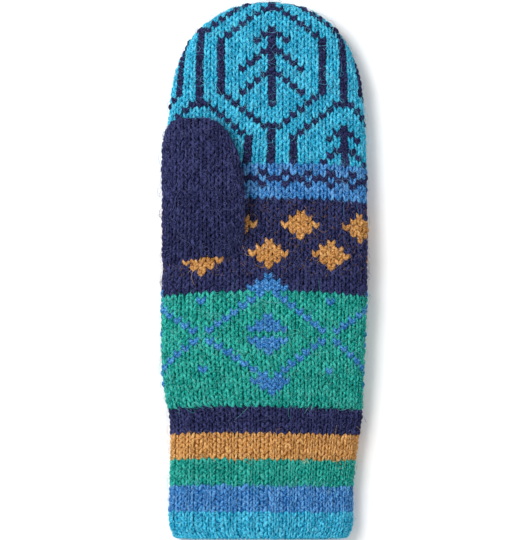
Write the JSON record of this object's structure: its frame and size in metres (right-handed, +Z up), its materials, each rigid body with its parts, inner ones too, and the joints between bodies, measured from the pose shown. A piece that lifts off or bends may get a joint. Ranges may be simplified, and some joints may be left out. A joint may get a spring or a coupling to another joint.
{
  "type": "knitted mitten",
  "caption": "Knitted wool mitten with striped ribbed cuff, patterned hand and a thumb over the palm, lying flat, hollow and open at the wrist.",
  "frame": {"origin": "middle of the hand's width and length, on the surface that the back of the hand lies on", "axes": "+X across the hand away from the thumb, +Y from the cuff to the fingertips, +Z up out of the palm"},
  "size_m": [0.0825, 0.2146, 0.0307],
  "materials": {
    "turquoise_yarn": "brushed wool, fuzzy",
    "blue_yarn": "brushed wool, fuzzy",
    "green_yarn": "brushed wool, fuzzy",
    "mustard_yarn": "brushed wool, fuzzy",
    "navy_yarn": "brushed wool, fuzzy"
  },
  "bodies": {
    "root": {"cuff_turquoise": "turquoise_yarn", "cuff_blue": "blue_yarn", "cuff_green": "green_yarn", "cuff_mustard": "mustard_yarn", "cuff_navy": "navy_yarn", "hand_green": "green_yarn", "hand_navy": "navy_yarn", "hand_blue": "blue_yarn", "hand_tip": "turquoise_yarn", "thumb": "navy_yarn"}
  },
  "joints": []
}
